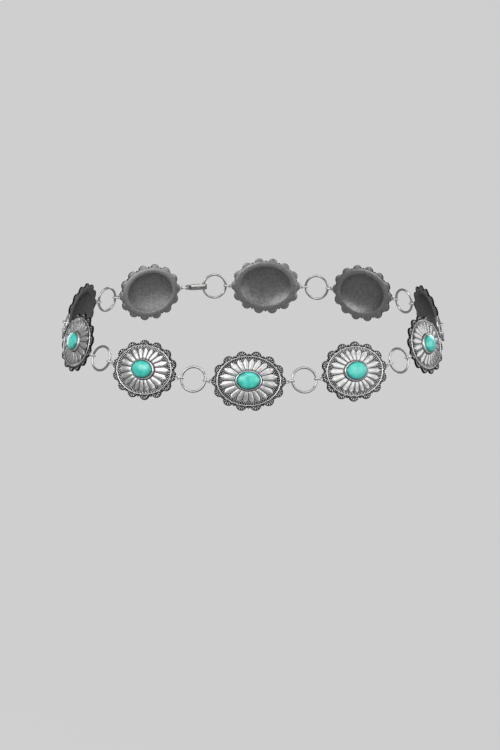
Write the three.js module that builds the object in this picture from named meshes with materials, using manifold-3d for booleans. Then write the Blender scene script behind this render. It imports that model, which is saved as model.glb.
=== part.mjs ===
// A chain belt of ten scalloped oval conchos, each set with an oval turquoise cabochon.
// Round rings and small jump rings join the conchos, and a plain strip hook closes the loop.
// Millimetres. The loop has the shape that it takes in use: upright round the Z axis, its front at -Y.
import * as THREE from "three";
import { mergeVertices } from "three/addons/utils/BufferGeometryUtils.js";
import Module from "manifold-3d";

const wasm = await Module();
wasm.setup();

// The oval that the conchos' backs lie on: an ellipse seen from above, higher at the back than in front.
const waist = {
  halfWidth: 129,
  halfDepth: 106,
  rise: 35, // from the front to the sides, and again from there to the back
  sideRise: 4, // more at the sides
  frontLeanDeg: 6, // how far the conchos face upwards, at the front and back
  sideLeanDeg: 16, // and at the sides
};

const concho = {
  rimHalfLength: 22.2, // oval wire inside the scallops, along the belt
  rimThickness: 1.3,
  lobes: 14,
  lobeRadius: 3.3,
  lobeCentre: 0.2, // outside the oval wire
  valley: 1.2, // plain edge between lobes, outside the oval wire
  lobeSteps: 4,
  wireWidth: 1.3,
  wireTop: 2.2,
  wireSides: 24,
  petals: 20,
  petalEnd: 20.4, // half length of the oval that the petals fill
  plateau: 3.6, // height of the flat seat on the dome
  backSides: 16,
};

const stone = { halfLength: 8, halfHeight: 6, seatGap: 0.25, girdle: 4.6, apex: 7.6, sides: 16 };
const bezel = { clearance: 0.25, wall: 0.9, top: 4.9, lip: 0.4, sunk: 1, sides: 16 };
const ovalGrowth = 0.796; // height gained for each mm of half length, from the stone to the wire

const eyelet = {
  holeLength: 1.5,
  holeWidth: 1.6,
  holeFromLobe: 0.05,
  bar: 1, // beyond the hole
  width: 3.4,
  corner: 0.7,
  root: 1.2, // buried in the end lobe
};

const ring = { outerRadius: 9.5, wireRadius: 0.9, sides: 12, wireSides: 6 };
const jumpRing = { wireRadius: 0.45, sides: 10, wireSides: 5, slack: 0.3 };
const gapAtJump = 0.35; // between an eyelet's bar and the ring that it is joined to

const hook = {
  thickness: 1.2,
  width: 4,
  slack: 0.5, // above and below the ring's wire
  back: 0.75, // from the wire to the inside of the bend
  slope: 4,
  eyeRun: 4,
  returnLeg: 8,
  tipRun: 2,
  tipLift: 0.8,
  bendSteps: 6,
};

const chain = { leftCount: 4, rightCount: 5, frontAngle: -0.022 }; // conchos beside the front one

const lobeTip = concho.rimHalfLength + concho.lobeCentre + concho.lobeRadius;
const pullAt = lobeTip + eyelet.holeFromLobe + eyelet.holeLength; // where a jump ring bears on the bar
const plateMiddle = concho.rimThickness / 2;
const jumpSpan = eyelet.bar + gapAtJump + 2 * ring.wireRadius;
const ringInner = 2 * (ring.outerRadius - 2 * ring.wireRadius);
const ringSpan = 2 * jumpSpan + ringInner;

const silver = new THREE.MeshStandardMaterial({ color: 0x9a9b9c, roughness: 0.35, metalness: 1 });
const brightSilver = new THREE.MeshStandardMaterial({ color: 0xb9b8b5, roughness: 0.25, metalness: 1 });
const turquoise = new THREE.MeshStandardMaterial({ color: 0x41c4b4, roughness: 0.3, metalness: 0 });

// Solids

function toSolid(geometry) {
  const bare = geometry.clone();
  bare.deleteAttribute("normal");
  bare.deleteAttribute("uv");
  const merged = mergeVertices(bare, 1e-4);
  return new wasm.Manifold(
    new wasm.Mesh({
      numProp: 3,
      vertProperties: merged.attributes.position.array,
      triVerts: new Uint32Array(merged.index.array),
    }),
  );
}

function toGeometry(solid) {
  const mesh = solid.getMesh();
  return new THREE.BufferGeometry()
    .setAttribute("position", new THREE.BufferAttribute(mesh.vertProperties, 3))
    .setIndex(new THREE.BufferAttribute(mesh.triVerts, 1));
}

// Half the height of the oval whose half length is given. The ovals grow from the stone to the wire.
function ovalHeight(halfLength) {
  return halfLength < stone.halfLength
    ? (halfLength * stone.halfHeight) / stone.halfLength
    : stone.halfHeight + (halfLength - stone.halfLength) * ovalGrowth;
}

// Turns a profile round Z into an oval body. A row is the half length of an oval and its height.
// A row with a flute goes down by that much at every second side and up by it at the others.
function ovalLathe(profile, sides) {
  const points = profile.map((row) => new THREE.Vector2(row.along, row.height));
  const geometry = new THREE.LatheGeometry(points, sides).rotateX(Math.PI / 2);
  const position = geometry.attributes.position;
  for (let i = 0; i < position.count; i++) {
    const { along, height, flute = 0 } = profile[i % profile.length];
    if (along === 0) continue;
    const side = Math.floor(i / profile.length);
    const angle = Math.atan2(position.getY(i), position.getX(i));
    const up = ovalHeight(along);
    const radius = (along * up) / Math.hypot(up * Math.cos(angle), along * Math.sin(angle));
    const lift = side % 2 === 0 ? -flute : flute;
    position.setXYZ(i, radius * Math.cos(angle), radius * Math.sin(angle), height + lift);
  }
  return toSolid(geometry);
}

// Concho

// The scalloped outline: round lobes at even steps round the wire's oval, with plain edge between them.
function scallopedOutline() {
  const semiX = concho.rimHalfLength;
  const semiY = ovalHeight(semiX);
  const halfArc = Math.acos((concho.valley - concho.lobeCentre) / concho.lobeRadius);
  const points = [];
  for (let lobe = 0; lobe < concho.lobes; lobe++) {
    const t = (2 * Math.PI * lobe) / concho.lobes;
    const outward = Math.atan2(Math.sin(t) * semiX, Math.cos(t) * semiY);
    const centreX = semiX * Math.cos(t) + concho.lobeCentre * Math.cos(outward);
    const centreY = semiY * Math.sin(t) + concho.lobeCentre * Math.sin(outward);
    for (let step = 0; step <= concho.lobeSteps; step++) {
      const angle = outward + halfArc * ((2 * step) / concho.lobeSteps - 1);
      const x = centreX + concho.lobeRadius * Math.cos(angle);
      const y = centreY + concho.lobeRadius * Math.sin(angle);
      points.push(new THREE.Vector2(x, y));
    }
  }
  return new THREE.Shape(points);
}

function rimPlate() {
  const settings = { depth: concho.rimThickness, bevelEnabled: false };
  return toSolid(new THREE.ExtrudeGeometry(scallopedOutline(), settings));
}

// The domed field inside the wire, fluted into petals that are deepest near their outer ends.
function petalDome() {
  const { rimThickness, plateau, petals, petalEnd } = concho;
  const profile = [
    { along: 0, height: plateMiddle },
    { along: petalEnd, height: plateMiddle },
    { along: petalEnd, height: rimThickness },
    { along: 17.4, height: 2.4, flute: 0.4 },
    { along: 9.5, height: plateau },
    { along: 0, height: plateau },
  ];
  return ovalLathe(profile, 2 * petals);
}

function ovalWire() {
  const { rimHalfLength: outer, wireWidth: width, rimThickness, wireTop } = concho;
  const profile = [
    { along: outer - width, height: plateMiddle },
    { along: outer, height: plateMiddle },
    { along: outer, height: rimThickness },
    { along: outer - width / 2, height: wireTop },
    { along: outer - width, height: rimThickness },
    { along: outer - width, height: plateMiddle },
  ];
  return ovalLathe(profile, concho.wireSides);
}

function bezelWall() {
  const inner = stone.halfLength + bezel.clearance;
  const outer = inner + bezel.wall;
  const foot = concho.plateau - bezel.sunk;
  const profile = [
    { along: inner, height: foot },
    { along: outer, height: foot },
    { along: outer, height: bezel.top - bezel.lip },
    { along: inner, height: bezel.top },
    { along: inner, height: foot },
  ];
  return ovalLathe(profile, bezel.sides);
}

// The recess behind the dome, which leaves a wall 1 to 2 mm thick.
function hollowBack() {
  const profile = [
    { along: 0, height: -1 },
    { along: 18.8, height: -1 },
    { along: 18.8, height: 0 },
    { along: 11, height: 1.8 },
    { along: 0, height: 2.3 },
  ];
  return ovalLathe(profile, concho.backSides);
}

// A loop at one end of the concho, in the plane of its rim. side is 1 or -1.
function eyeletLoop(side) {
  const root = lobeTip - eyelet.root;
  const end = pullAt + eyelet.bar;
  const half = eyelet.width / 2;
  const holeHalf = eyelet.holeWidth / 2;
  const outline = new THREE.Shape();
  outline.moveTo(root, -half);
  outline.lineTo(end - eyelet.corner, -half);
  outline.lineTo(end, -half + eyelet.corner);
  outline.lineTo(end, half - eyelet.corner);
  outline.lineTo(end - eyelet.corner, half);
  outline.lineTo(root, half);
  outline.closePath();
  const hole = new THREE.Path();
  hole.moveTo(pullAt - eyelet.holeLength, -holeHalf);
  hole.lineTo(pullAt - eyelet.holeLength, holeHalf);
  hole.lineTo(pullAt, holeHalf);
  hole.lineTo(pullAt, -holeHalf);
  hole.closePath();
  outline.holes.push(hole);
  const loop = new THREE.ExtrudeGeometry(outline, { depth: concho.rimThickness, bevelEnabled: false });
  return toSolid(side > 0 ? loop : loop.rotateZ(Math.PI));
}

function conchoGeometry() {
  const solid = rimPlate()
    .add(eyeletLoop(1))
    .add(eyeletLoop(-1))
    .add(petalDome())
    .add(ovalWire())
    .add(bezelWall())
    .subtract(hollowBack());
  return toGeometry(solid);
}

// An oval cabochon with a short upright girdle and a domed top.
function stoneGeometry() {
  const { halfLength, seatGap, girdle, apex, sides } = stone;
  const base = concho.plateau + seatGap;
  const domeAt = (angleDeg) => {
    const angle = THREE.MathUtils.degToRad(angleDeg);
    return { along: halfLength * Math.cos(angle), height: girdle + (apex - girdle) * Math.sin(angle) };
  };
  const profile = [
    { along: 0, height: base },
    { along: halfLength, height: base },
    domeAt(0),
    domeAt(30),
    domeAt(60),
    { along: 0, height: apex },
  ];
  return toGeometry(ovalLathe(profile, sides));
}

// Links

function ringGeometry() {
  const middle = ring.outerRadius - ring.wireRadius;
  return new THREE.TorusGeometry(middle, ring.wireRadius, ring.wireSides, ring.sides);
}

// A jump ring stands across the belt: it lies in its own XZ plane.
function jumpRingGeometry() {
  const { wireRadius, slack, wireSides, sides } = jumpRing;
  const middle = jumpSpan / 2 + slack + wireRadius;
  return new THREE.TorusGeometry(middle, wireRadius, wireSides, sides).rotateX(Math.PI / 2);
}

// A flat strip, seen from its edge: the line is its middle, and the strip has the hook's thickness.
function stripOutline(line) {
  const half = hook.thickness / 2;
  const side = (sign) =>
    line.map((point, i) => {
      const before = line[Math.max(i - 1, 0)];
      const after = line[Math.min(i + 1, line.length - 1)];
      const run = after.clone().sub(before).normalize();
      return new THREE.Vector2(point.x - sign * half * run.y, point.y + sign * half * run.x);
    });
  return new THREE.Shape([...side(-1), ...side(1).reverse()]);
}

// The hook holds the closing ring's wire, and a jump ring goes through its eye, length mm further on.
function hookGeometry(length) {
  const radius = ring.wireRadius + hook.slack + hook.thickness / 2;
  const bendX = ring.wireRadius + hook.slack - hook.back;
  const line = [
    new THREE.Vector2(length + eyelet.bar, 0),
    new THREE.Vector2(length - hook.eyeRun, 0),
    new THREE.Vector2(length - hook.eyeRun - hook.slope, radius),
  ];
  for (let i = 0; i <= hook.bendSteps; i++) {
    const angle = Math.PI / 2 + (Math.PI * i) / hook.bendSteps;
    line.push(new THREE.Vector2(bendX + radius * Math.cos(angle), radius * Math.sin(angle)));
  }
  line.push(new THREE.Vector2(bendX + hook.returnLeg, -radius));
  line.push(new THREE.Vector2(bendX + hook.returnLeg + hook.tipRun, -radius - hook.tipLift));
  const strip = new THREE.ExtrudeGeometry(stripOutline(line), { depth: hook.width, bevelEnabled: false })
    .translate(0, 0, -hook.width / 2)
    .rotateX(Math.PI / 2);
  const hole = new THREE.BoxGeometry(eyelet.holeLength, eyelet.holeWidth, 4 * hook.thickness);
  hole.translate(length - eyelet.holeLength / 2, 0, 0);
  return toGeometry(toSolid(strip).subtract(toSolid(hole)));
}

// Placing

// X runs along the belt, Z outward, and Y up the plate.
function frameOf(origin, along, outward) {
  const x = along.clone().normalize();
  const z = outward.clone().addScaledVector(x, -outward.dot(x)).normalize();
  const y = z.clone().cross(x);
  return new THREE.Matrix4().makeBasis(x, y, z).setPosition(origin);
}

// The frame of a concho's back at an angle round the loop, 0 at the front.
function conchoFrame(t) {
  const { halfWidth: a, halfDepth: b, rise, sideRise, frontLeanDeg, sideLeanDeg } = waist;
  const height = -rise * Math.cos(t) + sideRise * Math.sin(t) ** 2;
  const climb = rise * Math.sin(t) + sideRise * Math.sin(2 * t);
  const origin = new THREE.Vector3(a * Math.sin(t), -b * Math.cos(t), height);
  const along = new THREE.Vector3(a * Math.cos(t), b * Math.sin(t), climb);
  const lean = THREE.MathUtils.degToRad(frontLeanDeg + (sideLeanDeg - frontLeanDeg) * Math.sin(t) ** 2);
  const level = new THREE.Vector3(Math.sin(t) / a, -Math.cos(t) / b, 0).normalize();
  const outward = level.multiplyScalar(Math.cos(lean)).setZ(Math.sin(lean));
  return frameOf(origin, along, outward);
}

function pullPoint(frame, side) {
  return new THREE.Vector3(side * pullAt, 0, plateMiddle).applyMatrix4(frame);
}

// The angle of the next concho, one ring's span further round. side is 1 or -1.
function nextAngle(t, side) {
  const frame = conchoFrame(t);
  const from = pullPoint(frame, side);
  const ahead = new THREE.Vector3().setFromMatrixColumn(frame, 0).multiplyScalar(side);
  const mostTurn = 1.2;
  const halvings = 40;
  let near = t;
  let far = t + side * mostTurn;
  for (let i = 0; i < halvings; i++) {
    const middle = (near + far) / 2;
    const run = pullPoint(conchoFrame(middle), -side).sub(from);
    if (run.dot(ahead) < 0 || run.length() < ringSpan) near = middle;
    else far = middle;
  }
  return near;
}

function conchoAngles() {
  const left = [chain.frontAngle];
  while (left.length <= chain.leftCount) left.unshift(nextAngle(left[0], -1));
  const right = [chain.frontAngle];
  while (right.length <= chain.rightCount) right.push(nextAngle(right.at(-1), 1));
  return [...left, ...right.slice(1)];
}

function place(group, name, geometry, material, frame) {
  const mesh = new THREE.Mesh(geometry, material);
  mesh.name = name;
  frame.decompose(mesh.position, mesh.quaternion, mesh.scale);
  group.add(mesh);
}

function outwardOf(frame) {
  return new THREE.Vector3().setFromMatrixColumn(frame, 2);
}

// The links after each concho, in line with the pull. The last gap is longer and takes the hook.
function buildBelt() {
  const belt = new THREE.Group();
  const frames = conchoAngles().map(conchoFrame);
  const plate = conchoGeometry();
  const cabochon = stoneGeometry();
  const link = ringGeometry();
  const smallLink = jumpRingGeometry();
  frames.forEach((frame, i) => {
    place(belt, `concho_${i + 1}`, plate, silver, frame);
    place(belt, `stone_${i + 1}`, cabochon, turquoise, frame);
  });
  frames.forEach((frame, i) => {
    const next = frames[(i + 1) % frames.length];
    const from = pullPoint(frame, 1);
    const run = pullPoint(next, -1).sub(from);
    const length = run.length();
    const outward = outwardOf(frame).add(outwardOf(next));
    const at = (distance) => frameOf(from.clone().addScaledVector(run, distance / length), run, outward);
    place(belt, `jump_ring_${i + 1}a`, smallLink, brightSilver, at(jumpSpan / 2));
    place(belt, `ring_${i + 1}`, link, brightSilver, at(jumpSpan + ringInner / 2));
    place(belt, `jump_ring_${i + 1}b`, smallLink, brightSilver, at(length - jumpSpan / 2));
    if (i === frames.length - 1) {
      const hooked = jumpSpan + ringInner;
      const hookLength = length - jumpSpan - hooked;
      place(belt, "hook", hookGeometry(hookLength), brightSilver, at(hooked));
    }
  });
  return belt;
}

export default buildBelt();
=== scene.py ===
import math

import bmesh
import bpy
import numpy as np
from mathutils import Matrix, Vector


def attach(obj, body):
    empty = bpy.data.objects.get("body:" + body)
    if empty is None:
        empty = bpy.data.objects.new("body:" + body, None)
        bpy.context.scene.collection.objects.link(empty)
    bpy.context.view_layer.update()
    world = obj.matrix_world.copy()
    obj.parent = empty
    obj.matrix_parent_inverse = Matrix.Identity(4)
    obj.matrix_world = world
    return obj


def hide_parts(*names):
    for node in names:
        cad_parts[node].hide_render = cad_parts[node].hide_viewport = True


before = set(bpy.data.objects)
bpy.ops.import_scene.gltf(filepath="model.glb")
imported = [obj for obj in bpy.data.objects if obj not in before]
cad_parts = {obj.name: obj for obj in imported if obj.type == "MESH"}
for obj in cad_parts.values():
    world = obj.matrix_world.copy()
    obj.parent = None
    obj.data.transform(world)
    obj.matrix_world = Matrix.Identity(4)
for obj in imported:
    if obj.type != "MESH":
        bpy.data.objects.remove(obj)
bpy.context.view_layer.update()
mm = 0.001  # pieces are modelled in millimetres and placed in metres
print("frame loaded:", len(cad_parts), "nodes")


# Places, read from the frame

def surfaceAxes(node):
    # centre of a node's surface, its axes from the thinnest to the longest, and its points
    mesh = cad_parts[node].data
    mesh.calc_loop_triangles()
    points = np.array([vert.co for vert in mesh.vertices])
    corners = points[np.array([tri.vertices[:] for tri in mesh.loop_triangles])]
    sides = np.cross(corners[:, 1] - corners[:, 0], corners[:, 2] - corners[:, 0])
    areas = np.linalg.norm(sides, axis=1) / 2
    centre = (corners.sum(axis=1) * areas[:, None]).sum(axis=0) / (3 * areas.sum())
    local = corners - centre
    sums = local.sum(axis=1)
    spread = np.einsum("t,tki,tkj->ij", areas, local, local)
    spread += np.einsum("t,ti,tj->ij", areas, sums, sums)
    axes = np.linalg.eigh(spread)[1]
    return Vector(centre), [Vector(axes[:, i]) for i in range(3)], points


def outwardFrom(axis, centre):
    # the same line, pointing away from the belt's middle
    return axis if axis.x * centre.x + axis.y * centre.y > 0 else -axis


def placeMatrix(origin, along, outward):
    # X along the belt, Y up the plate, Z outward, and from millimetres to metres
    up = outward.cross(along).normalized()
    turn = Matrix((along.normalized(), up, outward.normalized())).transposed().to_4x4()
    return Matrix.Translation(origin) @ turn @ Matrix.Scale(mm, 4)


def conchoPlace(number):
    centre, axes, points = surfaceAxes(f"concho_{number}")
    outward = outwardFrom(axes[0], centre)
    along = axes[2] if outward.cross(axes[2]).z > 0 else -axes[2]
    back = min((points - np.array(centre)) @ np.array(outward))
    return placeMatrix(centre + outward * back, along, outward)


def linkPlaces(number):
    # both jump rings and the round ring between two conchos lie in line
    near = surfaceAxes(f"jump_ring_{number}a")[0]
    far = surfaceAxes(f"jump_ring_{number}b")[0]
    middle, axes = surfaceAxes(f"ring_{number}")[:2]
    outward = outwardFrom(axes[0], middle)
    along = far - near
    return [placeMatrix(point, along, outward) for point in (near, middle, far)]


# Working in bmesh
mergeDistance = 0.0005  # points closer than this, in millimetres, become one
planeDistance = 0.0001  # points closer than this to a cut lie on it


def clamp(value, low=0, high=1):
    return min(max(value, low), high)


def newShape():
    shape = bmesh.new()
    # this per-point value holds the silver's patina, and also painted shade: a line inside each petal's
    # lip and the stone's darker rim
    shape.verts.layers.float.new("patinaAndShade")
    return shape


def setTarnish(shape, amount):
    layer = shape.verts.layers.float["patinaAndShade"]
    for vert in shape.verts:
        vert[layer] = amount(vert.co) if callable(amount) else amount


def fadeTarnish(shape, height, atFoot, fall):
    # darkest at the foot, and evenly lighter up to the top
    setTarnish(shape, lambda co: atFoot - fall * max(co.z, 0) / height)


def addCopies(target, part, places):
    # puts a copy of part into target at each place
    mesh = bpy.data.meshes.new("part")
    part.to_mesh(mesh)
    part.free()
    for place in places:
        copy = mesh.copy()
        copy.transform(place)
        target.from_mesh(copy)
        bpy.data.meshes.remove(copy)
    bpy.data.meshes.remove(mesh)


def spinRows(rows, steps):
    # turns a profile of (half length, height, tarnish) rows round Z into a closed body
    shape = newShape()
    layer = shape.verts.layers.float["patinaAndShade"]
    line = []
    for along, height, dark in rows:
        vert = shape.verts.new((along, 0, height))
        vert[layer] = dark
        line.append(vert)
    edges = [shape.edges.new(pair) for pair in zip(line, line[1:])]
    bmesh.ops.spin(shape, geom=line + edges, cent=(0, 0, 0), axis=(0, 0, 1), dvec=(0, 0, 0),
                   angle=2 * math.pi, steps=steps, use_merge=True, use_duplicate=False)
    bmesh.ops.remove_doubles(shape, verts=shape.verts, dist=mergeDistance)
    bmesh.ops.recalc_face_normals(shape, faces=shape.faces)
    return shape


def finishMesh(name, shape, sharpDeg=38):
    mesh = bpy.data.meshes.new(name)
    for face in shape.faces:
        face.smooth = True
    shape.to_mesh(mesh)
    shape.free()
    mesh.set_sharp_from_angle(angle=math.radians(sharpDeg))
    return mesh


def placePiece(name, mesh, place, material, node):
    # a copy of the mesh, moved to its place, that stands for one CAD node
    copy = mesh.copy()
    copy.name = name
    copy.transform(place)
    copy.materials.append(material)
    piece = bpy.data.objects.new(name, copy)
    bpy.context.scene.collection.objects.link(piece)
    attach(piece, "root")
    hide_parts(node)


# Ovals: every line of the concho lies on one of a family, from the stone out to the wire
oval = {
    "stoneLength": 8,  # half of the stone's length, then half of its height
    "stoneHeight": 6,
    "growth": 0.796,  # of the half height, for each millimetre more of half length
}


def ovalHeight(halfLength):
    if halfLength < oval["stoneLength"]:
        return halfLength * oval["stoneHeight"] / oval["stoneLength"]
    return oval["stoneHeight"] + (halfLength - oval["stoneLength"]) * oval["growth"]


def ovalPoint(halfLength, angle):
    if halfLength < 1e-6:
        return 0, 0
    height = ovalHeight(halfLength)
    radius = halfLength * height / math.hypot(height * math.cos(angle), halfLength * math.sin(angle))
    return radius * math.cos(angle), radius * math.sin(angle)


def makeOval(shape):
    for vert in shape.verts:
        halfLength = math.hypot(vert.co.x, vert.co.y)
        angle = math.atan2(vert.co.y, vert.co.x)
        vert.co.x, vert.co.y = ovalPoint(halfLength, angle)


# The concho's shell: hollow back, rim, oval wire, the dish under the petals, bezel and seat
shell = {
    "steps": 168,
    "backDepth": 2.3,
    "backEdge": 18.8,
    "rimEdge": 23.35,
    "rimTop": 0.9,
    "wireMiddle": 21.6,
    "wireRadius": 0.4,
    "wireHeight": 1.7,
    "wireArc": 10,
    "wireFromDeg": -25,
    "wireTurnDeg": 230,
    "wireFootDark": 1.1,
    "wireWorn": -0.4,
    "dishInner": (9.2, 3.15),  # half length and height, as in the next two
    "dishShoulder": (17.0, 1.9),
    "dishOuter": (20.95, 1.25),
    "dishSwell": 0.25,
    "floorRows": 8,
    "floorDark": 1.15,
    "besideWire": 0.1,
    "besideBezel": 0.15,
    "bezelInner": 8.2,
    "bezelOuter": 9.2,
    "bezelTop": 4.9,
    "seat": 3.6,
}


def dishHeight(halfLength):
    # floor of the dish: domed, a little steeper outside the petals' shoulders
    s = shell
    low = s["dishInner"]
    high = s["dishShoulder"]
    if halfLength >= high[0]:
        low = s["dishShoulder"]
        high = s["dishOuter"]
    share = (halfLength - low[0]) / (high[0] - low[0])
    swell = s["dishSwell"] * math.sin(math.pi * clamp(share))
    return low[1] + (high[1] - low[1]) * share + swell


def buildShell():
    # rows of half length, height and tarnish, from the middle of the back round to the seat
    s = shell
    rows = [
        (0, s["backDepth"], 0.45),
        (11, 1.8, 0.45),
        (17.8, 0.45, 0.5),
        (s["backEdge"] - 0.3, 0.08, 0.5),
        (s["backEdge"], 0, 0.35),
        (s["rimEdge"] - 0.25, 0, 0.35),
        (s["rimEdge"] - 0.05, 0.12, 0.5),
        (s["rimEdge"], 0.3, 0.9),
        (s["rimEdge"], s["rimTop"] - 0.2, 1),
        (s["rimEdge"] - 0.15, s["rimTop"], 0.9),
        (s["rimEdge"] - 0.4, s["rimTop"], 1.1),
        (s["wireMiddle"] + s["wireRadius"] + 0.2, s["rimTop"], 1.2),
    ]
    for i in range(s["wireArc"] + 1):
        angle = math.radians(s["wireFromDeg"] + s["wireTurnDeg"] * i / s["wireArc"])
        along = s["wireMiddle"] + s["wireRadius"] * math.cos(angle)
        height = s["wireHeight"] + s["wireRadius"] * math.sin(angle)
        atFoot = i in (0, s["wireArc"])
        rows.append((along, height, s["wireFootDark"] if atFoot else s["wireWorn"]))
    floorStart = s["wireMiddle"] - s["wireRadius"] - s["besideWire"]
    floorEnd = s["bezelOuter"] + s["besideBezel"]
    for i in range(s["floorRows"]):
        along = floorStart + (floorEnd - floorStart) * i / (s["floorRows"] - 1)
        rows.append((along, dishHeight(along), s["floorDark"]))
    rows += [
        (s["bezelOuter"] + 0.04, dishHeight(s["bezelOuter"]) + 0.2, 0.6),
        (s["bezelOuter"] - 0.04, s["bezelTop"] - 0.75, -0.1),
        (s["bezelOuter"] - 0.16, s["bezelTop"] - 0.38, -0.25),
        (s["bezelOuter"] - 0.32, s["bezelTop"] - 0.17, -0.3),
        (s["bezelOuter"] - 0.58, s["bezelTop"] - 0.04, -0.4),
        (s["bezelInner"] + 0.27, s["bezelTop"], -0.4),
        (s["bezelInner"] + 0.12, s["bezelTop"] - 0.08, 0.0),
        (s["bezelInner"] + 0.03, s["bezelTop"] - 0.3, 1.0),
        (s["bezelInner"], s["seat"] + 0.1, 1.2),
        (0, s["seat"], 1.2),
    ]
    shape = spinRows(rows, s["steps"])
    makeOval(shape)
    return shape


# Petals: long pillows with house-shaped ends, on even true angles round the stone
petal = {
    "count": 20,
    "start": 9.58,
    "shoulder": 16.9,
    "tip": 19.8,
    "tipWidth": 0.12,
    "gapInner": 0.28,
    "gapOuter": 0.36,
    "edgeHeight": 0.3,
    "crownInner": 0.26,
    "crownOuter": 0.56,
    "fullness": 2.6,
    "lip": 0.06,
    "lipAt": 0.86,
    "lipWidth": 0.08,
    "startLength": 0.6,
    "startEdge": 0.4,
    "startCrown": 0.5,
    "tipCrownFall": 0.7,
    "tipEdgeFall": 0.25,
    "rows": 22,
    "columns": 26,
    "skirt": 0.35,
    "skirtDark": 1.2,
    "edgeDark": 0.3,
    "edgeDarkPower": 16,
    # painted shadow: a dark line just inside each petal's raised lip, where no groove is modelled
    "lipShadowDark": 0.12,
    "lipShadowInside": 0.22,  # from the lip towards the petal's middle line
    "lipShadowWidth": 0.09,
}


def petalHalfAngle(along, centreAngle):
    p = petal
    reach = min((along - p["start"]) / (p["shoulder"] - p["start"]), 1)
    gap = p["gapInner"] + (p["gapOuter"] - p["gapInner"]) * reach
    radius = math.hypot(*ovalPoint(along, centreAngle))
    half = math.pi / p["count"] - gap / 2 / radius
    if along > p["shoulder"]:
        fall = (along - p["shoulder"]) / (p["tip"] - p["shoulder"])
        half *= p["tipWidth"] + (1 - p["tipWidth"]) * (1 - fall)
    return half


def petalHeight(along, across):
    # height of a petal's top above the dish, from its start to its tip and from edge to edge
    p = petal
    rise = min((along - p["start"]) / (p["shoulder"] - p["start"]), 1)
    crown = p["crownInner"] + (p["crownOuter"] - p["crownInner"]) * rise
    edge = p["edgeHeight"]
    lip = p["lip"] * math.exp(-(((abs(across) - p["lipAt"]) / p["lipWidth"]) ** 2))
    if along > p["shoulder"]:
        fall = (along - p["shoulder"]) / (p["tip"] - p["shoulder"])
        crown *= 1 - p["tipCrownFall"] * fall ** 2
        edge *= 1 - p["tipEdgeFall"] * fall
    begun = min((along - p["start"]) / p["startLength"], 1)
    edge *= p["startEdge"] + (1 - p["startEdge"]) * begun
    crown *= p["startCrown"] + (1 - p["startCrown"]) * begun
    return edge + crown * (1 - abs(across) ** p["fullness"]) + lip


def buildPetal(centreAngle):
    p = petal
    shape = newShape()
    layer = shape.verts.layers.float["patinaAndShade"]
    bmesh.ops.create_grid(shape, x_segments=p["rows"], y_segments=p["columns"], size=1)
    innerX = 1 - 2 / p["rows"]
    innerY = 1 - 2 / p["columns"]
    nearEdge = 0.999  # only the grid's outermost points lie further out, and they go down as a wall
    for vert in shape.verts:
        onSkirt = max(abs(vert.co.x), abs(vert.co.y)) > nearEdge
        reach = (clamp(vert.co.x / innerX, -1) + 1) / 2
        across = clamp(vert.co.y / innerY, -1)
        along = p["start"] + (p["tip"] - p["start"]) * reach
        angle = centreAngle + across * petalHalfAngle(along, centreAngle)
        vert.co.x, vert.co.y = ovalPoint(along, angle)
        if onSkirt:
            vert.co.z = dishHeight(along) - p["skirt"]
            vert[layer] = p["skirtDark"]
        else:
            vert.co.z = dishHeight(along) + petalHeight(along, across)
            # painted shadow of the lip, added to the darker patina at the petal's very edges
            fromLipShadow = (abs(across) - p["lipAt"] + p["lipShadowInside"]) / p["lipShadowWidth"]
            inLipShadow = math.exp(-(fromLipShadow ** 2))
            vert[layer] = p["edgeDark"] * abs(across) ** p["edgeDarkPower"] + p["lipShadowDark"] * inLipShadow
    bmesh.ops.remove_doubles(shape, verts=shape.verts, dist=mergeDistance)
    bmesh.ops.holes_fill(shape, edges=shape.edges, sides=0)
    bmesh.ops.recalc_face_normals(shape, faces=shape.faces)
    return shape


def buildPetals():
    shape = newShape()
    for i in range(petal["count"]):
        addCopies(shape, buildPetal(math.pi * (2 * i + 1) / petal["count"]), [Matrix()])
    return shape


# Studs between the petals' tips, in staggered rows, and short bars just inside the wire
relief = {"sides": 10, "stacks": 6, "darkBase": 1.2, "darkUpTo": 0.35, "lightFrom": 0.85}
stud = {
    "radius": 0.47,
    "height": 0.46,
    "spacing": 1.15,
    "margin": 0.1,
    "rows": [18.9, 17.9, 16.95],
    "worn": -0.15,
}
bar = {"along": 20.3, "length": 1.5, "width": 0.66, "height": 0.46, "spacing": 1.2, "worn": -0.1}


def wearTop(shape, height, worn):
    # oxidised round the foot, and rubbed lighter towards the top
    r = relief

    def amount(co):
        share = (co.z / height - r["darkUpTo"]) / (r["lightFrom"] - r["darkUpTo"])
        return r["darkBase"] + (worn - r["darkBase"]) * clamp(share)

    setTarnish(shape, amount)


def buildStud(radius, height, worn):
    # a low round stud
    shape = newShape()
    bmesh.ops.create_uvsphere(shape, u_segments=relief["sides"], v_segments=relief["stacks"], radius=1)
    bmesh.ops.scale(shape, vec=(radius, radius, height), verts=shape.verts)
    wearTop(shape, height, worn)
    return shape


def buildBar(length, width, height, worn):
    # a short half-round bar along X
    shape = newShape()
    lying = Matrix.Rotation(math.pi / 2, 4, "Y")
    bmesh.ops.create_cone(shape, cap_ends=True, segments=relief["sides"], radius1=1, radius2=1,
                          depth=1, matrix=lying)
    bmesh.ops.scale(shape, vec=(length, width / 2, height), verts=shape.verts)
    wearTop(shape, height, worn)
    return shape


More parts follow.
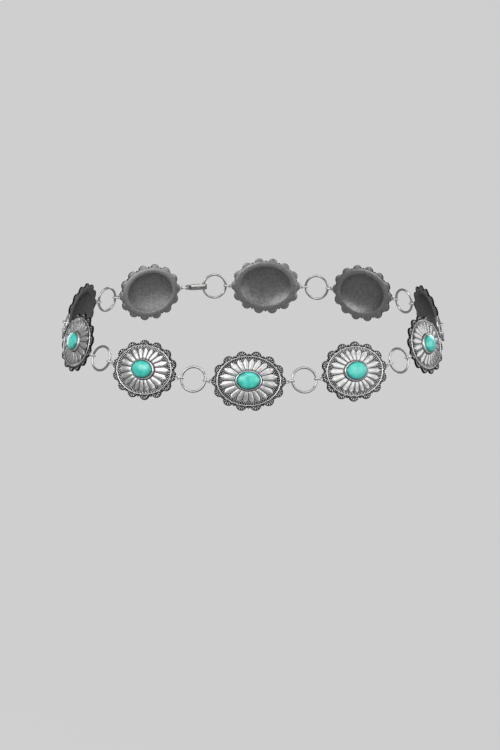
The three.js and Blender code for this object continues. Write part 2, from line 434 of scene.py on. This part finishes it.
def buildStuds():
    shape = newShape()
    places = []
    halfStep = math.pi / petal["count"]
    for corner in range(petal["count"]):
        centreAngle = 2 * math.pi * corner / petal["count"]
        for along in stud["rows"]:
            radius = math.hypot(*ovalPoint(along, centreAngle))
            free = halfStep - petalHalfAngle(along, centreAngle + halfStep)
            width = 2 * free * radius
            count = max(round((width - stud["margin"]) / stud["spacing"]), 0)
            for i in range(count):
                angle = centreAngle + (i - (count - 1) / 2) * stud["spacing"] / radius
                x, y = ovalPoint(along, angle)
                places.append(Matrix.Translation((x, y, dishHeight(along))))
    addCopies(shape, buildStud(stud["radius"], stud["height"], stud["worn"]), places)
    addCopies(shape, buildBar(bar["length"], bar["width"], bar["height"], bar["worn"]), barPlaces())
    return shape


def barPlaces():
    # even steps along the oval, each bar pointing straight out of it
    semiX = bar["along"]
    semiY = ovalHeight(semiX)
    steps = 720
    line = [(semiX * math.cos(2 * math.pi * i / steps), semiY * math.sin(2 * math.pi * i / steps))
            for i in range(steps)]
    length = sum(math.dist(line[i - 1], line[i]) for i in range(steps))
    count = round(length / bar["spacing"])
    places = []
    travelled = 0
    for i in range(steps):
        if travelled >= len(places) * length / count:
            x, y = line[i]
            outward = math.atan2(y * semiX / semiY, x * semiY / semiX)
            at = Matrix.Translation((x, y, dishHeight(bar["along"])))
            places.append(at @ Matrix.Rotation(outward, 4, "Z"))
        travelled += math.dist(line[i], line[(i + 1) % steps])
    return places[:count]


# Scallops: round lobes with a raised border round bars, an arch and a stud, and beads between them
lobe = {
    "count": 14,
    "centre": -0.42,
    "radius": 3.8,
    "border": 0.8,
    "field": 1.0,
    "top": 1.6,
    "steps": 40,
    "cutInside": -0.5,
    "bars": 6,
    "barRadius": 2.42,
    "barSpreadDeg": 80,
    "barLength": 1.1,
    "barWidth": 0.8,
    "barHeight": 0.42,
    "barWorn": -0.2,
    "archRadius": 1.5,
    "archWire": 0.22,
    "archSteps": 24,
    "archRound": 8,
    "archLift": 0.08,
    "archDark": (0.9, 0.7),  # at the foot, and how far it falls to the top
    "studRadius": 0.55,
    "studHeight": 0.5,
    "studWorn": 0.1,
    "studAt": 0.35,
    "valleyBead": 0.75,
    "valleyReach": 0.85,
    "valleyHeight": 0.95,
    "valleySides": 12,
    "valleyStacks": 8,
    "valleyDark": (1.1, 0.65),
}
wireLine = 22.2  # half length of the oval just outside the wire, which the lobes are measured from


def lobePlaces():
    # position and outward turn of each lobe and of each valley between two lobes
    semiX = wireLine
    semiY = ovalHeight(semiX)
    places = []
    for i in range(lobe["count"] * 2):
        step = math.pi * i / lobe["count"]
        outward = math.atan2(math.sin(step) * semiX, math.cos(step) * semiY)
        places.append((semiX * math.cos(step), semiY * math.sin(step), outward))
    return places[::2], places[1::2]


def buildLobe():
    # rows of radius, height and tarnish, from the middle of the back round to the field
    r = lobe["radius"]
    b = lobe["border"]
    rows = [
        (0, 0.05, 0.35),
        (r - 0.25, 0.05, 0.35),
        (r - 0.07, 0.15, 0.5),
        (r, 0.35, 0.75),
        (r, lobe["top"] - 0.45, 1),
        (r - 0.1, lobe["top"] - 0.18, 0.85),
        (r - 0.28, lobe["top"] - 0.03, 0.6),
        (r - b / 2 - 0.05, lobe["top"], 0.4),
        (r - b + 0.15, lobe["top"] - 0.1, 0.7),
        (r - b, lobe["top"] - 0.35, 1.1),
        (r - b - 0.05, lobe["field"], 1.15),
        (0, lobe["field"], 1.1),
    ]
    shape = spinRows(rows, lobe["steps"])
    cutAcross(shape, lobe["cutInside"])
    places = []
    for i in range(lobe["bars"]):
        angle = math.radians(lobe["barSpreadDeg"]) * (2 * i / (lobe["bars"] - 1) - 1)
        turn = Matrix.Rotation(angle, 4, "Z")
        places.append(turn @ Matrix.Translation((lobe["barRadius"], 0, lobe["field"])))
    rib = buildBar(lobe["barLength"], lobe["barWidth"], lobe["barHeight"], lobe["barWorn"])
    addCopies(shape, rib, places)
    arch = buildTorus(lobe["archRadius"], lobe["archWire"], lobe["archSteps"], lobe["archRound"])
    fadeTarnish(arch, lobe["archWire"], *lobe["archDark"])
    cutAcross(arch, 0)
    addCopies(shape, arch, [Matrix.Translation((0, 0, lobe["field"] + lobe["archLift"]))])
    middle = buildStud(lobe["studRadius"], lobe["studHeight"], lobe["studWorn"])
    addCopies(shape, middle, [Matrix.Translation((lobe["studAt"], 0, lobe["field"]))])
    return shape


def cutAcross(shape, at):
    # keeps the side of a shape beyond x = at, and closes the cut
    everything = list(shape.verts) + list(shape.edges) + list(shape.faces)
    bmesh.ops.bisect_plane(shape, geom=everything, dist=planeDistance, plane_co=(at, 0, 0),
                           plane_no=(1, 0, 0), clear_inner=True)
    bmesh.ops.holes_fill(shape, edges=shape.edges, sides=0)
    bmesh.ops.recalc_face_normals(shape, faces=shape.faces)


def buildScallops():
    lobes, valleys = lobePlaces()
    shape = newShape()
    places = []
    for x, y, outward in lobes:
        turn = Matrix.Rotation(outward, 4, "Z")
        places.append(Matrix.Translation((x, y, 0)) @ turn @ Matrix.Translation((lobe["centre"], 0, 0)))
    addCopies(shape, buildLobe(), places)
    beads = []
    reach = lobe["valleyReach"]
    for x, y, outward in valleys:
        at = (x + reach * math.cos(outward), y + reach * math.sin(outward), lobe["valleyHeight"])
        beads.append(Matrix.Translation(at))
    bead = newShape()
    bmesh.ops.create_uvsphere(bead, u_segments=lobe["valleySides"], v_segments=lobe["valleyStacks"],
                              radius=lobe["valleyBead"])
    fadeTarnish(bead, lobe["valleyBead"], *lobe["valleyDark"])
    addCopies(shape, bead, beads)
    return shape


# End loops: a flattened round loop at each end, which a jump ring goes through
endLoop = {
    "centre": 26.5,
    "height": 0.65,
    "hole": 0.76,
    "wire": 0.47,
    "depth": 1.25,
    "steps": 36,
    "round": 12,
    "worn": -0.35,
}


def buildTorus(middle, wire, steps, around, turnDeg=360.0):
    # a ring in the XY plane; with under a full turn it is cut, and its ends are closed
    shape = newShape()
    cut = turnDeg < 360
    start = Matrix.Translation((middle, 0, 0)) @ Matrix.Rotation(math.pi / 2, 4, "X")
    section = bmesh.ops.create_circle(shape, cap_ends=cut, segments=around, radius=wire, matrix=start)
    geometry = list(section["verts"]) + list(shape.edges) + list(shape.faces)
    bmesh.ops.spin(shape, geom=geometry, cent=(0, 0, 0), axis=(0, 0, 1), dvec=(0, 0, 0),
                   angle=math.radians(turnDeg), steps=steps, use_merge=not cut, use_duplicate=False)
    bmesh.ops.remove_doubles(shape, verts=shape.verts, dist=mergeDistance)
    if cut:
        bmesh.ops.holes_fill(shape, edges=shape.edges, sides=0)
    bmesh.ops.recalc_face_normals(shape, faces=shape.faces)
    return shape


def buildEndLoops():
    e = endLoop
    loop = buildTorus(e["hole"] + e["wire"], e["wire"], e["steps"], e["round"])
    bmesh.ops.scale(loop, vec=(1, 1, e["depth"]), verts=loop.verts)
    setTarnish(loop, e["worn"])
    places = [Matrix.Translation((side * e["centre"], 0, e["height"])) for side in (1, -1)]
    shape = newShape()
    addCopies(shape, loop, places)
    return shape


def buildConcho():
    shape = newShape()
    for part in (buildShell(), buildPetals(), buildStuds(), buildScallops(), buildEndLoops()):
        addCopies(shape, part, [Matrix()])
    return finishMesh("conchoMesh", shape)


# Stones: a polished oval cabochon with an upright girdle
stone = {
    "base": 3.87,
    "girdle": 4.6,
    "apex": 7.48,
    "halfLength": 7.97,
    "bevelIn": 0.3,
    "bevelUp": 0.25,
    "rimShadeReach": 2.6,
    "domeRows": 18,
    "steps": 72,
    "sharpDeg": 60,
}


def buildStone():
    # rows of half length, height and painted shade, which darkens the stone towards its rim and which
    # the material reads from the same attribute as the silver's patina
    s = stone
    rows = [
        (0, s["base"], 1),
        (s["halfLength"] - s["bevelIn"], s["base"], 1),
        (s["halfLength"], s["base"] + s["bevelUp"], 1),
    ]
    for i in range(s["domeRows"] + 1):
        angle = math.pi / 2 * i / s["domeRows"]
        along = s["halfLength"] * math.cos(angle)
        height = s["girdle"] + (s["apex"] - s["girdle"]) * math.sin(angle)
        # painted shade: the stone grows darker over the last few millimetres towards the bezel
        rimShade = max(1 - (s["halfLength"] - along) / s["rimShadeReach"], 0)
        rows.append((along, height, rimShade ** 2))
    shape = spinRows(rows, s["steps"])
    makeOval(shape)
    return finishMesh("stoneMesh", shape, s["sharpDeg"])


# Links: round rings, and jump rings with a fine cut where they were closed
ring = {"outer": 9.3, "wire": 0.84, "steps": 96, "round": 16}
jumpRing = {
    "middle": 2.23,
    "wire": 0.42,
    "flatness": 1.5,  # flat wire, wider than it is thick
    "steps": 40,
    "round": 12,
    "turnDeg": 357.0,
    "cutAtDeg": 65,
}


def buildRing():
    shape = buildTorus(ring["outer"] - ring["wire"], ring["wire"], ring["steps"], ring["round"])
    return finishMesh("ringMesh", shape)


def buildJumpRing():
    j = jumpRing
    shape = buildTorus(j["middle"], j["wire"], j["steps"], j["round"], j["turnDeg"])
    bmesh.ops.scale(shape, vec=(1, 1, j["flatness"]), verts=shape.verts)
    # it stands across the belt, with the cut away from both of the parts that it joins
    turn = Matrix.Rotation(math.pi / 2, 3, "X") @ Matrix.Rotation(math.radians(j["cutAtDeg"]), 3, "Z")
    bmesh.ops.rotate(shape, cent=(0, 0, 0), matrix=turn, verts=shape.verts)
    return finishMesh("jumpRingMesh", shape)


# Hook: one flat strip, bent round the closing ring's wire, with a round eye for the last jump ring
hook = {
    "ringInside": 7.7,
    "jumpHalf": 1.575,
    "thickness": 1.1,
    "width": 3.9,
    "bendRadius": 2.0,
    "bendX": 0.65,
    "bendSteps": 16,
    "slope": 4,
    "slopeSteps": 6,
    "eyeRun": 4,
    "eyeClear": 0.05,
    "eyeMiddle": 0.75,  # from the end that the jump ring pulls on
    "eyeInner": 0.85,
    "eyeOuter": 1.75,
    "eyeSteps": 36,
    "returnLeg": 8,
    "tipRun": 2,
    "tipLift": 0.8,
    "edge": 0.22,
    "edgeSteps": 3,
    "edgeFrom": 1,  # bends sharper than this, in radians, are rounded
}


def hookLine(length):
    # the strip's middle, seen from its edge, from beside the eye's hole to the free tip
    h = hook
    root = length - h["eyeMiddle"] - h["eyeInner"] - h["eyeClear"]
    line = [(root, 0), (length - h["eyeRun"], 0)]
    for i in range(1, h["slopeSteps"]):
        share = i / h["slopeSteps"]
        ease = share * share * (3 - 2 * share)
        line.append((length - h["eyeRun"] - h["slope"] * share, h["bendRadius"] * ease))
    for i in range(h["bendSteps"] + 1):
        angle = math.pi / 2 + math.pi * i / h["bendSteps"]
        x = h["bendX"] + h["bendRadius"] * math.cos(angle)
        line.append((x, h["bendRadius"] * math.sin(angle)))
    line.append((h["bendX"] + h["returnLeg"], -h["bendRadius"]))
    line.append((h["bendX"] + h["returnLeg"] + h["tipRun"], -h["bendRadius"] - h["tipLift"]))
    return line


def buildHook(length):
    h = hook
    shape = newShape()
    line = [Vector(point) for point in hookLine(length)]
    sides = []
    for sign in (-1, 1):
        side = []
        for i, point in enumerate(line):
            run = (line[min(i + 1, len(line) - 1)] - line[max(i - 1, 0)]).normalized()
            x, z = point + sign * h["thickness"] / 2 * Vector((-run.y, run.x))
            side.append(shape.verts.new((x, -h["width"] / 2, z)))
        sides.append(side)
    outline = shape.faces.new(sides[0] + sides[1][::-1])
    made = bmesh.ops.extrude_face_region(shape, geom=[outline])
    moved = [item for item in made["geom"] if isinstance(item, bmesh.types.BMVert)]
    bmesh.ops.translate(shape, vec=(0, h["width"], 0), verts=moved)
    bmesh.ops.recalc_face_normals(shape, faces=shape.faces)
    sharp = [edge for edge in shape.edges if edge.calc_face_angle() > h["edgeFrom"]]
    bmesh.ops.bevel(shape, geom=sharp, offset=h["edge"], segments=h["edgeSteps"], profile=0.5,
                    affect="EDGES", material=-1, clamp_overlap=True)
    addCopies(shape, buildEye(), [Matrix.Translation((length - h["eyeMiddle"], 0, 0))])
    return finishMesh("hookMesh", shape)


def buildEye():
    # a flat washer with rounded edges: its section starts and ends at the hole
    h = hook
    half = h["thickness"] / 2
    inner = h["eyeInner"]
    outer = h["eyeOuter"]
    soft = h["edge"] / 2
    rows = [
        (inner, soft - half, 0),
        (inner + soft, -half, 0),
        (outer - soft, -half, 0),
        (outer, soft - half, 0),
        (outer, half - soft, 0),
        (outer - soft, half, 0),
        (inner + soft, half, 0),
        (inner, half - soft, 0),
        (inner, soft - half, 0),
    ]
    return spinRows(rows, h["eyeSteps"])


# Materials

def newMaterial(name):
    material = bpy.data.materials.new(name)
    material.use_nodes = True
    nodes = material.node_tree.nodes
    nodes.clear()
    output = nodes.new("ShaderNodeOutputMaterial")
    shader = nodes.new("ShaderNodeBsdfPrincipled")
    material.node_tree.links.new(shader.outputs["BSDF"], output.inputs["Surface"])
    coords = nodes.new("ShaderNodeTexCoord")
    return material, nodes, material.node_tree.links, shader, coords.outputs["Object"]


def addNoise(nodes, links, coords, scale, detail, roughness=0.5):
    noise = nodes.new("ShaderNodeTexNoise")
    noise.inputs["Scale"].default_value = scale
    noise.inputs["Detail"].default_value = detail
    noise.inputs["Roughness"].default_value = roughness
    links.new(coords, noise.inputs["Vector"])
    return noise.outputs["Fac"]


def addRamp(nodes, links, value, stops):
    ramp = nodes.new("ShaderNodeValToRGB")
    elements = ramp.color_ramp.elements
    while len(elements) < len(stops):
        elements.new(0.5)
    for element, (position, colour) in zip(elements, stops):
        element.position = position
        element.color = (*colour, 1)
    links.new(value, ramp.inputs["Fac"])
    return ramp.outputs["Color"]


def addMath(nodes, links, operation, first, second, clamp=False):
    node = nodes.new("ShaderNodeMath")
    node.operation = operation
    node.use_clamp = clamp
    for socket, value in zip(node.inputs, (first, second)):
        if isinstance(value, (int, float)):
            socket.default_value = value
        else:
            links.new(value, socket)
    return node.outputs["Value"]


def addRange(nodes, links, value, low, high, fromLow=0.0, fromHigh=1.0):
    node = nodes.new("ShaderNodeMapRange")
    node.inputs["From Min"].default_value = fromLow
    node.inputs["From Max"].default_value = fromHigh
    node.inputs["To Min"].default_value = low
    node.inputs["To Max"].default_value = high
    links.new(value, node.inputs["Value"])
    return node.outputs["Result"]


def addBump(nodes, links, height, strength, distance, normal=None):
    bump = nodes.new("ShaderNodeBump")
    bump.inputs["Strength"].default_value = strength
    bump.inputs["Distance"].default_value = distance
    links.new(height, bump.inputs["Height"])
    if normal is not None:
        links.new(normal, bump.inputs["Normal"])
    return bump.outputs["Normal"]


# Each noise has a scale, a detail and mostly a roughness; each bump has a strength and a distance
antiqueLook = {
    "stops": [
        (0.0, (0.88, 0.88, 0.88)),
        (0.25, (0.7, 0.7, 0.705)),
        (0.45, (0.34, 0.34, 0.34)),
        (0.72, (0.012, 0.012, 0.011)),
    ],
    "edge": (0.22, 0.22, 0.22),
    "mostPolished": -0.4,
    "mostTarnished": 1.2,
    "polishedRoughness": 0.33,
    "satinRoughness": 0.4,
    "smudge": (650, 4, 0.6),
    "smudgeShift": (-0.16, 0.2),
    "castGrain": (2600, 3),
    "castBump": (0.25, 0.00006),
    "waves": (300, 2),
    "waveBump": (0.3, 0.0003),
}


def makeAntiqueSilver():
    # bright on the high parts, oxidised in the recesses and dark along the petals' painted lip shadows,
    # with a faint cast grain
    look = antiqueLook
    material, nodes, links, shader, coords = newMaterial("antiqueSilver")
    patinaAndShade = nodes.new("ShaderNodeAttribute")
    patinaAndShade.attribute_name = "patinaAndShade"
    smudge = addNoise(nodes, links, coords, *look["smudge"])
    shift = addRange(nodes, links, smudge, *look["smudgeShift"])
    depth = addMath(nodes, links, "ADD", patinaAndShade.outputs["Fac"], shift)
    share = addRange(nodes, links, depth, 0, 1, look["mostPolished"], look["mostTarnished"])
    links.new(addRamp(nodes, links, share, look["stops"]), shader.inputs["Base Color"])
    rough = addRange(nodes, links, patinaAndShade.outputs["Fac"], look["polishedRoughness"],
                     look["satinRoughness"], look["mostPolished"], 0.0)
    links.new(rough, shader.inputs["Roughness"])
    shader.inputs["Metallic"].default_value = 1
    shader.inputs["Specular Tint"].default_value = (*look["edge"], 1)
    castGrain = addNoise(nodes, links, coords, *look["castGrain"])
    waves = addNoise(nodes, links, coords, *look["waves"])
    normal = addBump(nodes, links, castGrain, *look["castBump"])
    normal = addBump(nodes, links, waves, *look["waveBump"], normal)
    links.new(normal, shader.inputs["Normal"])
    return material


brightLook = {
    "colour": (0.58, 0.575, 0.565),
    "dull": (0.38, 0.375, 0.365),
    "edge": (0.3, 0.3, 0.3),
    "glossiest": 0.1,
    "roughest": 0.24,
}
satinLook = {
    "colour": (0.88, 0.88, 0.87),
    "dull": (0.7, 0.7, 0.69),
    "edge": (0.3, 0.3, 0.3),
    "glossiest": 0.34,
    "roughest": 0.42,
}
wireMarks = {
    "cloud": (260, 4, 0.6),
    "colourUpTo": 0.3,
    "dullFrom": 0.75,
    "scratches": (1800, 4, 0.7),
    "scratchBump": (0.2, 0.00005),
}


def makeWireSilver(name, look):
    # drawn wire: pale and smooth, slightly uneven in gloss, with fine handling marks
    material, nodes, links, shader, coords = newMaterial(name)
    cloud = addNoise(nodes, links, coords, *wireMarks["cloud"])
    stops = [(wireMarks["colourUpTo"], look["colour"]), (wireMarks["dullFrom"], look["dull"])]
    links.new(addRamp(nodes, links, cloud, stops), shader.inputs["Base Color"])
    rough = addRange(nodes, links, cloud, look["glossiest"], look["roughest"])
    links.new(rough, shader.inputs["Roughness"])
    shader.inputs["Metallic"].default_value = 1
    shader.inputs["Specular Tint"].default_value = (*look["edge"], 1)
    scratches = addNoise(nodes, links, coords, *wireMarks["scratches"])
    links.new(addBump(nodes, links, scratches, *wireMarks["scratchBump"]), shader.inputs["Normal"])
    return material


stoneLook = {
    "stops": [
        (0.0, (0.006, 0.16, 0.14)),
        (0.25, (0.015, 0.5, 0.42)),
        (0.5, (0.055, 0.74, 0.62)),
        (0.85, (0.26, 0.88, 0.8)),
    ],
    "cloud": (230, 5, 0.6),
    "rimShadeShare": 0.5,
    "roughness": 0.3,
    "coat": 0.6,
    "coatRoughness": 0.26,
    "specular": 0.8,
    "pits": (900, 3),
    "pitBump": (0.12, 0.00008),
}


def makeTurquoise():
    # opaque blue-green with soft paler clouds, painted shade that darkens it towards the rim, and a
    # polished surface
    look = stoneLook
    material, nodes, links, shader, coords = newMaterial("turquoise")
    cloud = addNoise(nodes, links, coords, *look["cloud"])
    rim = nodes.new("ShaderNodeAttribute")
    rim.attribute_name = "patinaAndShade"
    # painted shade: the colour is pushed towards the deep stops near the stone's rim
    paintedRimShade = addMath(nodes, links, "MULTIPLY", rim.outputs["Fac"], look["rimShadeShare"])
    depth = addMath(nodes, links, "SUBTRACT", cloud, paintedRimShade, clamp=True)
    links.new(addRamp(nodes, links, depth, look["stops"]), shader.inputs["Base Color"])
    shader.inputs["Roughness"].default_value = look["roughness"]
    shader.inputs["Coat Weight"].default_value = look["coat"]
    shader.inputs["Coat Roughness"].default_value = look["coatRoughness"]
    shader.inputs["Specular IOR Level"].default_value = look["specular"]
    pits = addNoise(nodes, links, coords, *look["pits"])
    links.new(addBump(nodes, links, pits, *look["pitBump"]), shader.inputs["Normal"])
    return material


# Floor, light and camera
stageSettings = {
    "floorHeight": -0.95,
    "radius": 5.0,
    "wallHeight": 4.2,
    "cove": 1.4,
    "coveSteps": 16,
    "steps": 96,
    "mergeDistance": 0.0001,
    "sharpDeg": 60,
    "colour": (0.36, 0.36, 0.357),
    "roughness": 0.9,
    "glowColour": (1, 1, 0.993),
    "glow": 0.45,
}


def makeStage():
    # a round floor that curves up into a pale wall, so every view has the same plain ground
    s = stageSettings
    shape = bmesh.new()
    line = [shape.verts.new((0, 0, 0)), shape.verts.new((s["radius"] - s["cove"], 0, 0))]
    for i in range(1, s["coveSteps"] + 1):
        angle = math.pi / 2 * i / s["coveSteps"]
        x = s["radius"] - s["cove"] + s["cove"] * math.sin(angle)
        line.append(shape.verts.new((x, 0, s["cove"] * (1 - math.cos(angle)))))
    line.append(shape.verts.new((s["radius"], 0, s["wallHeight"])))
    edges = [shape.edges.new(pair) for pair in zip(line, line[1:])]
    bmesh.ops.spin(shape, geom=line + edges, cent=(0, 0, 0), axis=(0, 0, 1), dvec=(0, 0, 0),
                   angle=2 * math.pi, steps=s["steps"], use_merge=True, use_duplicate=False)
    bmesh.ops.remove_doubles(shape, verts=shape.verts, dist=s["mergeDistance"])
    bmesh.ops.translate(shape, vec=(0, 0, s["floorHeight"]), verts=shape.verts)
    bmesh.ops.recalc_face_normals(shape, faces=shape.faces)
    mesh = finishMesh("studioFloor", shape, s["sharpDeg"])
    material, _, _, shader, _ = newMaterial("studioPaper")
    shader.inputs["Base Color"].default_value = (*s["colour"], 1)
    shader.inputs["Emission Color"].default_value = (*s["glowColour"], 1)
    shader.inputs["Emission Strength"].default_value = s["glow"]
    shader.inputs["Roughness"].default_value = s["roughness"]
    mesh.materials.append(material)
    floor = bpy.data.objects.new("studioFloor", mesh)
    floor.visible_diffuse = False  # only the lights and the air light the belt
    floor.visible_glossy = False
    floor.visible_shadow = False
    bpy.context.scene.collection.objects.link(floor)


lights = [
    {"name": "keyLight", "at": (-1.7, -1.95, 1.3), "size": (2.4, 1.4), "power": 32},
    {"name": "rightLight", "at": (2.0, -1.9, 0.75), "size": (3.1, 2.2), "power": 29},
    {"name": "topLight", "at": (0.2, -1.6, 2.5), "size": (2.4, 1.3), "power": 18},
    {"name": "sideLight", "at": (2.7, 0.5, 0.7), "size": (0.9, 1.2), "power": 7},
    {"name": "backKeyLight", "at": (1.3, 2.5, 1.4), "size": (2.4, 1.4), "power": 32},
    {"name": "backFillLight", "at": (-1.2, 2.6, 0.6), "size": (1.9, 1.6), "power": 18},
]
air = {"colour": (0.98, 0.99, 1), "strength": 0.34}


def makeLights():
    # every light is aimed at the belt's middle
    for settings in lights:
        data = bpy.data.lights.new(settings["name"], "AREA")
        data.shape = "RECTANGLE"
        data.size, data.size_y = settings["size"]
        data.energy = settings["power"]
        light = bpy.data.objects.new(settings["name"], data)
        light.location = settings["at"]
        toward = -light.location
        light.rotation_euler = toward.to_track_quat("-Z", "Y").to_euler()
        light.visible_camera = False
        bpy.context.scene.collection.objects.link(light)
    world = bpy.data.worlds.new("studioAir")
    world.use_nodes = True
    background = world.node_tree.nodes["Background"]
    background.inputs["Color"].default_value = (*air["colour"], 1)
    background.inputs["Strength"].default_value = air["strength"]
    bpy.context.scene.world = world
    bpy.context.scene.view_settings.view_transform = "Standard"


view = {"distance": 2.5, "lens": 176.5, "sensor": 36, "sideways": -0.002, "aboveFront": 0.0041}


def makeCamera():
    # level and far off, as the photograph was taken
    front = surfaceAxes("concho_5")[0]
    data = bpy.data.cameras.new("camera")
    data.lens = view["lens"]
    data.sensor_width = view["sensor"]
    camera = bpy.data.objects.new("camera", data)
    camera.location = (view["sideways"], front.y - view["distance"], front.z + view["aboveFront"])
    camera.rotation_euler = (math.pi / 2, 0, 0)
    bpy.context.scene.collection.objects.link(camera)
    bpy.context.scene.camera = camera


# Building the belt
makeCamera()
makeLights()
makeStage()
print("camera, lights and floor made")

antiqueSilver = makeAntiqueSilver()
brightSilver = makeWireSilver("brightSilver", brightLook)
satinSilver = makeWireSilver("satinSilver", satinLook)
turquoise = makeTurquoise()
print("materials made")

conchoCount = sum(name.startswith("concho_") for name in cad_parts)
conchoMesh = buildConcho()
stoneMesh = buildStone()
print("concho modelled:", len(conchoMesh.polygons), "faces")
for number in range(1, conchoCount + 1):
    place = conchoPlace(number)
    placePiece(f"concho{number}", conchoMesh, place, antiqueSilver, f"concho_{number}")
    placePiece(f"cabochon{number}", stoneMesh, place, turquoise, f"stone_{number}")
print("conchos and stones placed")

ringMesh = buildRing()
jumpRingMesh = buildJumpRing()
for number in range(1, conchoCount + 1):
    near, middle, far = linkPlaces(number)
    placePiece(f"nearLink{number}", jumpRingMesh, near, satinSilver,
               f"jump_ring_{number}a")
    placePiece(f"roundRing{number}", ringMesh, middle, brightSilver,
               f"ring_{number}")
    placePiece(f"farLink{number}", jumpRingMesh, far, satinSilver,
               f"jump_ring_{number}b")
print("rings placed")

# the hook lies inside the last round ring and reaches to the jump ring beyond it
lastRing, lastLink = linkPlaces(conchoCount)[1:]
hookStart = lastRing @ Vector((hook["ringInside"], 0, 0))
hookLength = (lastLink.translation - hookStart).length / mm - hook["jumpHalf"]
hookPlace = Matrix.Translation(hookStart - lastRing.translation) @ lastRing
placePiece("closingHook", buildHook(hookLength), hookPlace, brightSilver, "hook")
print("hook placed")
